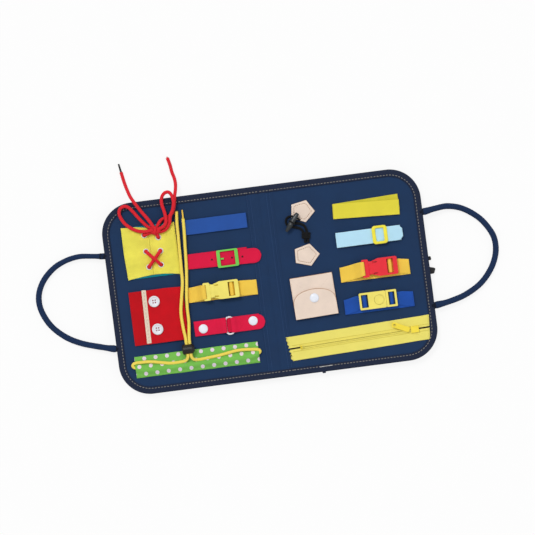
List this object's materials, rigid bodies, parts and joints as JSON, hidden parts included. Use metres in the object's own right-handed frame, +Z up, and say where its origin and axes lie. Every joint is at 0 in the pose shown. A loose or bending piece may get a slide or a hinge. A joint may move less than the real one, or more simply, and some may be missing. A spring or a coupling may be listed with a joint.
{
  "type": "quiet book",
  "caption": "Padded cloth book with two stiff leaves of practice fasteners: laces, drawstring, belts, buckles, snaps, buttons, toggle and zipper, with a round handle at each end.",
  "frame": {"origin": "middle of the open book, on the surface that its back pads rest on", "axes": "+X across the spine to the right leaf, +Y to the top edge of the open pages, +Z up out of the pages"},
  "size_m": [0.6231, 0.3121, 0.0286],
  "materials": {
    "navy_cloth": "plain-woven polyester canvas, matt",
    "binding": "woven binding tape with a grey-beige row of stitches",
    "board": "stiffening board, unseen",
    "black_plastic": "moulded, slightly worn gloss",
    "teal_felt": "pressed felt",
    "lemon_felt": "pressed felt with white moulded eyelets",
    "lace_red": "braided round lace",
    "green_cloth": "printed cotton with plain dots",
    "cord_yellow": "braided cord",
    "blue_webbing": "woven tape",
    "red_webbing": "woven tape, with pale snap caps on the snapped pair",
    "green_plastic": "moulded",
    "orange_webbing": "woven tape",
    "pale_yellow_plastic": "moulded",
    "white_plastic": "moulded",
    "yellow_felt": "pressed felt with a plain sewn motif",
    "red_cloth": "felted cloth",
    "beige_leather": "smooth leatherette with stitched edges and a pale snap cap",
    "black_cord": "round elastic cord",
    "horn_plastic": "polished imitation horn",
    "yellow_webbing": "woven hook and loop tape",
    "light_blue_webbing": "woven tape",
    "yellow_plastic": "moulded",
    "red_plastic": "moulded",
    "red_felt": "pressed felt with a plain sewn motif",
    "zip_yellow": "woven tape with a moulded chain",
    "zip_plastic": "painted"
  },
  "bodies": {
    "right_leaf": {"right_back_cover": "navy_cloth", "right_board": "board", "right_lining": "navy_cloth", "right_binding": "binding", "upper_patch": "beige_leather", "lower_patch": "beige_leather", "toggle_loop": "black_cord", "yellow_strip_base": "yellow_webbing", "light_blue_strap": "light_blue_webbing", "red_buckle_webbing": "orange_webbing", "red_buckle_male": "red_plastic", "blue_buckle_webbing": "blue_webbing", "centre_buckle_housing": "pale_yellow_plastic", "pouch_pocket": "beige_leather", "pouch_felt": "red_felt", "zipper_tapes": "zip_yellow"},
    "spine": {"spine_panel": "navy_cloth"},
    "left_leaf": {"left_back_cover": "navy_cloth", "left_board": "board", "left_lining": "navy_cloth", "left_binding": "binding", "closure_female": "black_plastic", "lacing_backing": "teal_felt", "lacing_left_panel": "lemon_felt", "lacing_right_panel": "lemon_felt", "lace_crossing": "lace_red", "lace_bow": "lace_red", "drawstring_tunnel": "green_cloth", "drawstring": "cord_yellow", "blue_strip_base": "blue_webbing", "red_belt": "red_webbing", "belt_frame": "green_plastic", "yellow_buckle_webbing": "orange_webbing", "yellow_buckle_male": "pale_yellow_plastic", "snap_belt_base": "red_webbing", "snap_belt_ring": "white_plastic", "panel_felt": "yellow_felt"},
    "left_handle": {"left_handle": "navy_cloth"},
    "right_handle": {"right_handle": "navy_cloth"},
    "cord_lock": {"cord_lock_body": "black_plastic"},
    "lock_plunger": {"cord_lock_plunger": "black_plastic"},
    "blue_flap": {"blue_strip_flap": "blue_webbing"},
    "yellow_flap": {"yellow_strip_flap": "yellow_webbing"},
    "prong": {"belt_prong": "green_plastic"},
    "yellow_socket": {"yellow_buckle_female": "pale_yellow_plastic"},
    "red_socket": {"red_buckle_female": "red_plastic"},
    "snap_left": {"snap_flap_left": "red_webbing"},
    "snap_right": {"snap_flap_right": "red_webbing"},
    "panel_inner": {"panel_inner_flap": "red_cloth", "upper_button": "white_plastic", "lower_button": "white_plastic"},
    "panel_outer": {"panel_outer_flap": "red_cloth"},
    "toggle": {"toggle": "horn_plastic"},
    "slider": {"strap_slider": "yellow_plastic"},
    "centre_tongue": {"centre_buckle_male": "pale_yellow_plastic"},
    "centre_button": {"centre_buckle_button": "pale_yellow_plastic"},
    "pouch_flap": {"pouch_outer_flap": "beige_leather"},
    "zip_slider": {"zipper_slider": "zip_plastic"},
    "zip_pull": {"zipper_pull": "zip_plastic"},
    "closure_plug": {"closure_male": "black_plastic"}
  },
  "joints": [
    {"name": "spine_fold", "type": "hinge", "parent": "right_leaf", "child": "spine", "pos_m": [0.012, 0, 0.0134], "axis": [0, 1, 0], "range_deg": [0, 90]},
    {"name": "left_leaf_fold", "type": "hinge", "parent": "spine", "child": "left_leaf", "pos_m": [-0.012, 0, 0.0134], "axis": [0, 1, 0], "range_deg": [0, 90]},
    {"name": "left_handle_swing", "type": "hinge", "parent": "left_leaf", "child": "left_handle", "pos_m": [-0.2193, 0, 0.0107], "axis": [0, -1, 0], "range_deg": [-90, 0]},
    {"name": "right_handle_swing", "type": "hinge", "parent": "right_leaf", "child": "right_handle", "pos_m": [0.2193, 0, 0.0107], "axis": [0, 1, 0], "range_deg": [-90, 0]},
    {"name": "cord_lock_slide", "type": "slide", "parent": "left_leaf", "child": "cord_lock", "axis": [0, -0.9659, -0.2588], "range_m": [-0.03, 0], "deforming": ["drawstring"]},
    {"name": "lock_plunger_press", "type": "slide", "parent": "cord_lock", "child": "lock_plunger", "axis": [1, 0, 0], "range_m": [-0.0014, 0], "stiffness_N_per_m": 500, "springref_m": 0.0005},
    {"name": "blue_flap_lift", "type": "hinge", "parent": "left_leaf", "child": "blue_flap", "pos_m": [-0.11, 0.08589, 0.0152], "axis": [0, 1, 0], "range_deg": [-100, 0], "deforming": ["drawstring"]},
    {"name": "yellow_flap_lift", "type": "hinge", "parent": "right_leaf", "child": "yellow_flap", "pos_m": [0.09471, 0.0821, 0.0152], "axis": [0.0541, 0.9985, 0], "range_deg": [-100, 0]},
    {"name": "prong_lift", "type": "hinge", "parent": "left_leaf", "child": "prong", "pos_m": [-0.06044, 0.03858, 0.0181], "axis": [0, 1, 0], "range_deg": [-90, 0]},
    {"name": "yellow_socket_release", "type": "slide", "parent": "left_leaf", "child": "yellow_socket", "axis": [-1, 0, 0], "range_m": [-0.016, 0]},
    {"name": "red_socket_release", "type": "slide", "parent": "right_leaf", "child": "red_socket", "axis": [-1, 0, 0], "range_m": [-0.016, 0]},
    {"name": "snap_left_lift", "type": "hinge", "parent": "left_leaf", "child": "snap_left", "pos_m": [-0.06471, -0.05031, 0.0185], "axis": [0, -1, 0], "range_deg": [-80, 0]},
    {"name": "snap_right_lift", "type": "hinge", "parent": "left_leaf", "child": "snap_right", "pos_m": [-0.05881, -0.05111, 0.0185], "axis": [0, 1, 0], "range_deg": [-80, 0]},
    {"name": "panel_outer_open", "type": "hinge", "parent": "left_leaf", "child": "panel_outer", "pos_m": [-0.1168, -0.0266, 0.0168], "axis": [0, -1, 0], "range_deg": [-135, 0], "deforming": ["drawstring"]},
    {"name": "panel_inner_open", "type": "hinge", "parent": "left_leaf", "child": "panel_inner", "pos_m": [-0.1897, -0.0266, 0.0155], "axis": [0, 1, 0], "range_deg": [-60, 0], "deforming": ["drawstring"]},
    {"name": "toggle_turn", "type": "hinge", "parent": "right_leaf", "child": "toggle", "pos_m": [0.0394, 0.07469, 0.0205], "axis": [0, 0, 1], "range_deg": [-60, 0]},
    {"name": "slider_travel", "type": "slide", "parent": "right_leaf", "child": "slider", "axis": [1, 0, 0], "range_m": [-0.042, 0.014]},
    {"name": "centre_tongue_release", "type": "slide", "parent": "right_leaf", "child": "centre_tongue", "axis": [-1, 0, 0], "range_m": [-0.022, 0]},
    {"name": "centre_button_press", "type": "slide", "parent": "right_leaf", "child": "centre_button", "axis": [0, 0, 1], "range_m": [-0.0014, 0], "stiffness_N_per_m": 600, "springref_m": 0.0005},
    {"name": "pouch_flap_lift", "type": "hinge", "parent": "right_leaf", "child": "pouch_flap", "pos_m": [0.05716, -0.05459, 0.0186], "axis": [-0.9994, -0.0349, 0], "range_deg": [-120, 0]},
    {"name": "zip_slider_travel", "type": "slide", "parent": "right_leaf", "child": "zip_slider", "axis": [0.9995, 0.0314, 0], "range_m": [-0.147, 0]},
    {"name": "zip_pull_lift", "type": "hinge", "parent": "zip_slider", "child": "zip_pull", "pos_m": [0.178, -0.08799, 0.018], "axis": [0.0314, -0.9995, 0], "range_deg": [-120, 0]},
    {"name": "closure_plug_out", "type": "slide", "parent": "right_leaf", "child": "closure_plug", "axis": [-0.9945, -0.1045, 0], "range_m": [-0.025, 0]}
  ],
  "couplings": [
    {"joint": "left_leaf_fold", "follows": "spine_fold", "ratio": 1},
    {"joint": "panel_inner_open", "follows": "panel_outer_open", "ratio": 0.4}
  ]
}
